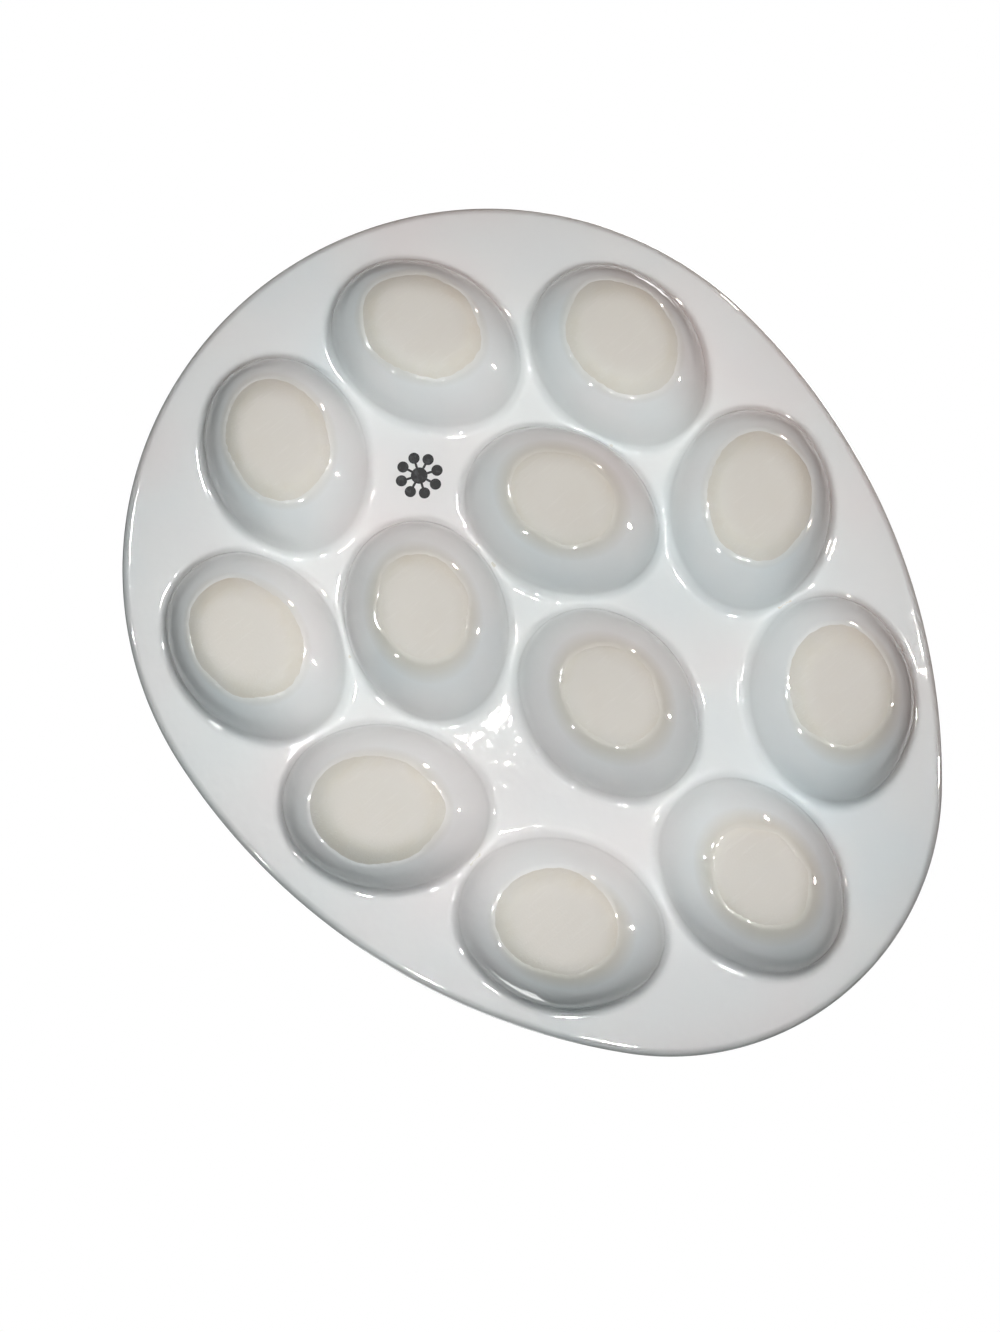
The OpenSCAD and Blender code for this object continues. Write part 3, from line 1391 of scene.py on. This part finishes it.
@dataclass(frozen=True)
class Studio:
    """A pale floor, a pale room, soft lamps over the platter and the photograph's lamps under it.

    The room is white overhead and pale in a band at the horizon. Under the horizon it is dark, and
    grey straight down, so that the sides of the wells read darker than the flat deck; there it is
    warm at the picture's top and cool at its bottom. What the glaze mirrors is a room of its own,
    with a bright band at the horizon, and lamps that only the glaze shows. The small ones lie
    where specks of the photograph have them.

    Args:
        right: Direction of the picture's right.
        down: Direction of the picture's down.
        warm_way: The room's warm side, as parts of right and down.
        strong_way: The near lamp's strong side, as parts of right and down.
        warm: Tint of the warm side.
        cool: Tint of the other side.
        backdrop: What the camera sees behind the platter.
        tint_span: Share of the warm direction over which the tint turns from cool to warm.
        tint_levels: Levels between which the tint comes in.
        room: Shades that matt surfaces see, by level: 0 is straight down and 1 straight up.
        mirrored_room: Shades that the glaze mirrors, by level.
        softboxes: Lamps over the platter, and broad ones beside and under it.
        sparkles: Lamps that only the glaze mirrors: name, place, size, power and colour.
    """

    right: np.ndarray
    down: np.ndarray
    warm_way: tuple[float, float] = (0.33, -0.94)
    strong_way: tuple[float, float] = (-0.8, 0.6)
    warm: str = "#FFC4A0"
    cool: str = "#B8E6F0"
    backdrop: str = "#FFFFFF"
    tint_span: float = 0.6
    tint_levels: tuple[float, float] = (0.6, 0.45)
    room: Stops = (
        (0.0, "#8A8B8B"), (0.1, "#646667"), (0.27, "#1A1C1D"), (0.46, "#2A2C2D"),
        (0.5, "#8A8C8C"), (0.6, "#B6B8B8"), (0.66, "#505252"), (0.8, "#E8EAEA"), (1.0, "#FFFFFF"))
    mirrored_room: Stops = (
        (0.0, "#9D9E9E"), (0.15, "#5C5F60"), (0.45, "#4A4C4D"), (0.51, "#A8AAAA"),
        (0.54, "#D8DADA"), (0.6, "#A0A2A2"), (0.68, "#3A3C3D"), (0.86, "#4A4C4D"),
        (0.95, "#E8EAEA"), (1.0, "#FFFFFF"))
    softboxes: tuple[Softbox, ...] = (
        Softbox("lamp_over_left", (-0.9, 0.3, 1.1), (0.8, 0.8), 8.0),
        Softbox("lamp_over_right", (0.9, -0.5, 0.9), (0.5, 0.5), 3.0),
        Softbox("warm_wall_under", (-0.95, 0.05, -0.4), (0.6, 0.6), 0.85, "#FFAE92",
                LampRole.FILL),
        Softbox("pale_wall_under", (0.95, -0.05, -0.4), (0.6, 0.6), 0.06, "#F2FAFF",
                LampRole.FILL),
    )
    sparkles: tuple[tuple[str, Point, tuple[float, float], float, str], ...] = (
        ("ceiling_under", (-0.06, 0.05, -0.6), (0.9, 0.9), 2.8, "#FFFFFF"),
        ("ceiling_lamp_middle", (-0.01, 0.08, -1.2), (0.07, 0.04), 2.0, "#FFFBF4"),
        ("ceiling_lamp_left", (0.324, 0.633, -1.023), (0.08, 0.14), 8.0, "#FFFFFF"),
        ("wall_lamp_far", (0.356, -0.524, -0.961), (0.05, 0.05), 5.0, "#FFFFFF"),
        ("wall_lamp_left", (1.026, 0.021, -0.517), (0.05, 0.05), 3.5, "#FFFFFF"),
        ("low_lamp_right", (-0.8, -0.71, -0.3), (0.06, 0.06), 5.0, "#FFF6EC"),
        ("ceiling_lamp_far", (0.62, -0.3, -1.05), (0.04, 0.04), 3.5, "#FFFFFF"),
        ("wall_lamp_below", (0.75, 0.62, -0.72), (0.04, 0.04), 3.5, "#FFFFFF"),
        ("ceiling_lamp_right", (-0.55, -0.25, -1.0), (0.04, 0.04), 3.0, "#FFF6EC"),
        ("low_lamp_above", (-1.04, 0.3, -0.3), (0.06, 0.06), 4.0, "#FFF6EC"),
    )

    def towards(self, way: tuple[float, float]) -> np.ndarray:
        """Returns the direction that runs along the picture's right and down by the given parts."""
        return way[0] * self.right + way[1] * self.down

    def surround(self) -> None:
        """Lights the scene with the room, and shows a plain backdrop behind the platter.

        A direction's level is half of its height plus one. Its share of the warm tint grows with
        its part along the warm side, and the tint multiplies the shades under the horizon.
        """
        world = bpy.data.worlds.new("studio")
        world.use_nodes = True
        bpy.context.scene.world = world
        tree = world.node_tree
        light = tree.nodes["Background"]
        direction = add(tree, "ShaderNodeTexCoord").outputs["Generated"]
        up = add(tree, "ShaderNodeSeparateXYZ", links={"Vector": direction}).outputs["Z"]
        level = add(tree, "ShaderNodeMapRange", {"From Min": -1.0, "From Max": 1.0},
                    {"Value": up}).outputs["Result"]
        side = add(tree, "ShaderNodeVectorMath",
                   {"operation": "DOT_PRODUCT", 1: tuple(self.towards(self.warm_way))},
                   {0: direction})
        share = add(tree, "ShaderNodeMapRange",
                    {"From Min": -self.tint_span, "From Max": self.tint_span},
                    {"Value": side.outputs["Value"]})
        tint, seen, mirrored = (
            add(tree, "ShaderNodeValToRGB", {"stops": stops}, {"Fac": source}).outputs["Color"]
            for stops, source in ((((0.0, self.cool), (1.0, self.warm)), share.outputs["Result"]),
                                  (self.room, level), (self.mirrored_room, level)))
        rays = add(tree, "ShaderNodeLightPath").outputs
        shades = add(tree, "ShaderNodeMixRGB",
                     links={"Fac": rays["Is Glossy Ray"], "Color1": seen, "Color2": mirrored})
        plain, tinted = self.tint_levels
        under = add(tree, "ShaderNodeMapRange", {"From Min": plain, "From Max": tinted},
                    {"Value": level})
        colour = add(tree, "ShaderNodeMixRGB", {"blend_type": "MULTIPLY"},
                     {"Fac": under.outputs["Result"], "Color1": shades.outputs["Color"],
                      "Color2": tint})
        tree.links.new(colour.outputs["Color"], light.inputs["Color"])
        backdrop = add(tree, "ShaderNodeBackground", {"Color": linear(self.backdrop)})
        mix = add(tree, "ShaderNodeMixShader",
                  links={0: rays["Is Camera Ray"], 1: light.outputs["Background"],
                         2: backdrop.outputs["Background"]})
        tree.links.new(mix.outputs["Shader"], tree.nodes["World Output"].inputs["Surface"])

    def build(self) -> None:
        """Sets up the floor, the surround, the lamps and the plain colour response."""
        Floor().build()
        self.surround()
        sparkles = [Softbox(*row, LampRole.SPARKLE) for row in self.sparkles]
        for box in (*self.softboxes, *sparkles, *NearLamp(self.towards(self.strong_way)).panels()):
            box.build()
        bpy.context.scene.view_settings.view_transform = "Standard"


def main() -> None:
    """Builds the pieces in order, then the studio and the camera, and notes the model's size."""
    logging.basicConfig(level=logging.INFO, format="%(name)s: %(message)s")
    shape = PlatterShape()
    for piece in (PorcelainBody(shape).build(), *GlazeCoat(shape).build(), Rosette().build()):
        log.info("%s: %d faces", piece.name, len(piece.data.polygons))
    camera = PhotoCamera()
    right, down, _ = camera.axes()
    Studio(right, down).build()
    camera.build(shape)


if __name__ == "__main__":
    main()
